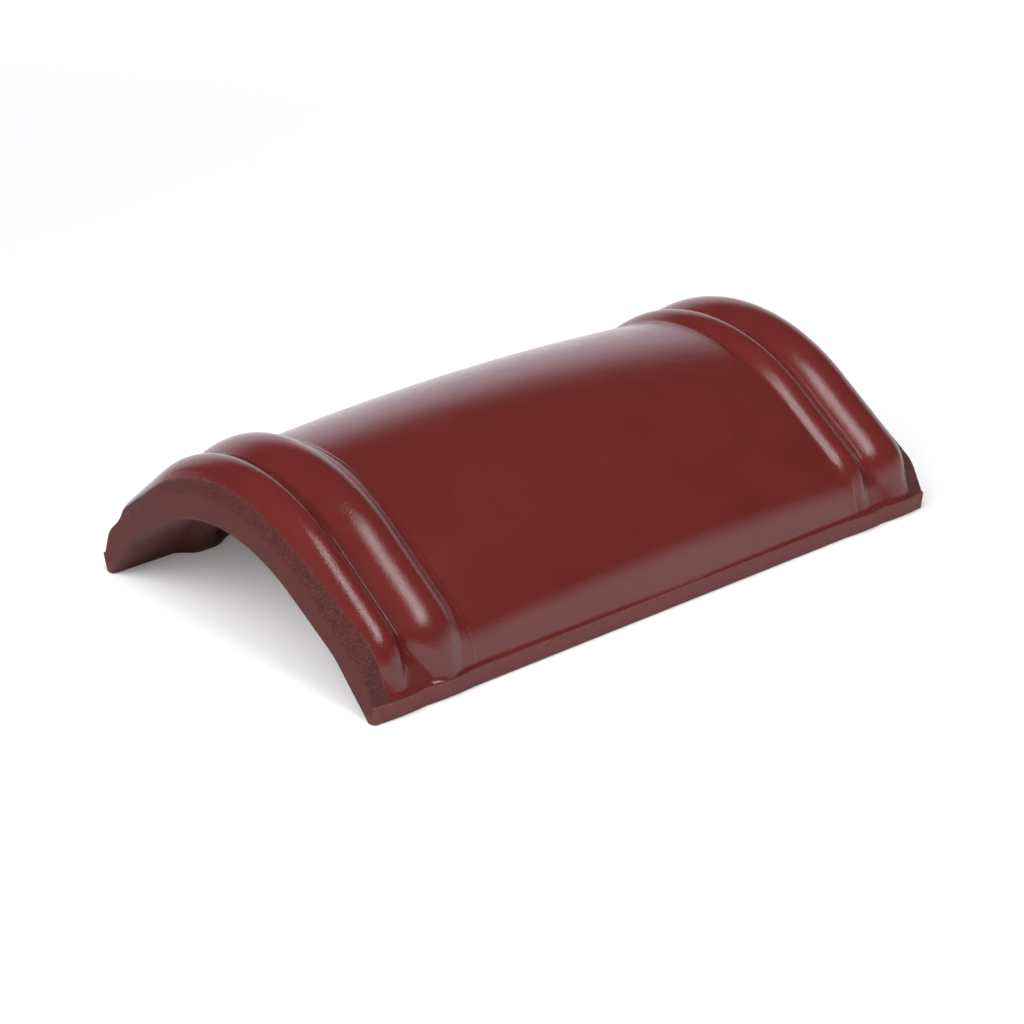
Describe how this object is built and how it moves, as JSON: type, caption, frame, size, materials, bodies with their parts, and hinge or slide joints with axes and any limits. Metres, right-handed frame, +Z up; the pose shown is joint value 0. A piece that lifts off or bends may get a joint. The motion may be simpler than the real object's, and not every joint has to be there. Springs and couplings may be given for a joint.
{
  "type": "glazed ridge tile",
  "caption": "Arched clay ridge tile with a bowed glazed body, a pair of ribs across each end, raw end faces and two straight feet that sit on the roof slopes.",
  "frame": {"origin": "middle of the tile's plan, on the plane of its two feet", "axes": "+X along the ridge, +Y across it, +Z up to the crown"},
  "size_m": [0.42, 0.2928, 0.1098],
  "materials": {
    "glazed_clay": "glossy oxblood glaze on top, raw matt fired clay on the end faces, foot bands and underside"
  },
  "bodies": {
    "root": {"ridge_tile": "glazed_clay"}
  },
  "joints": []
}
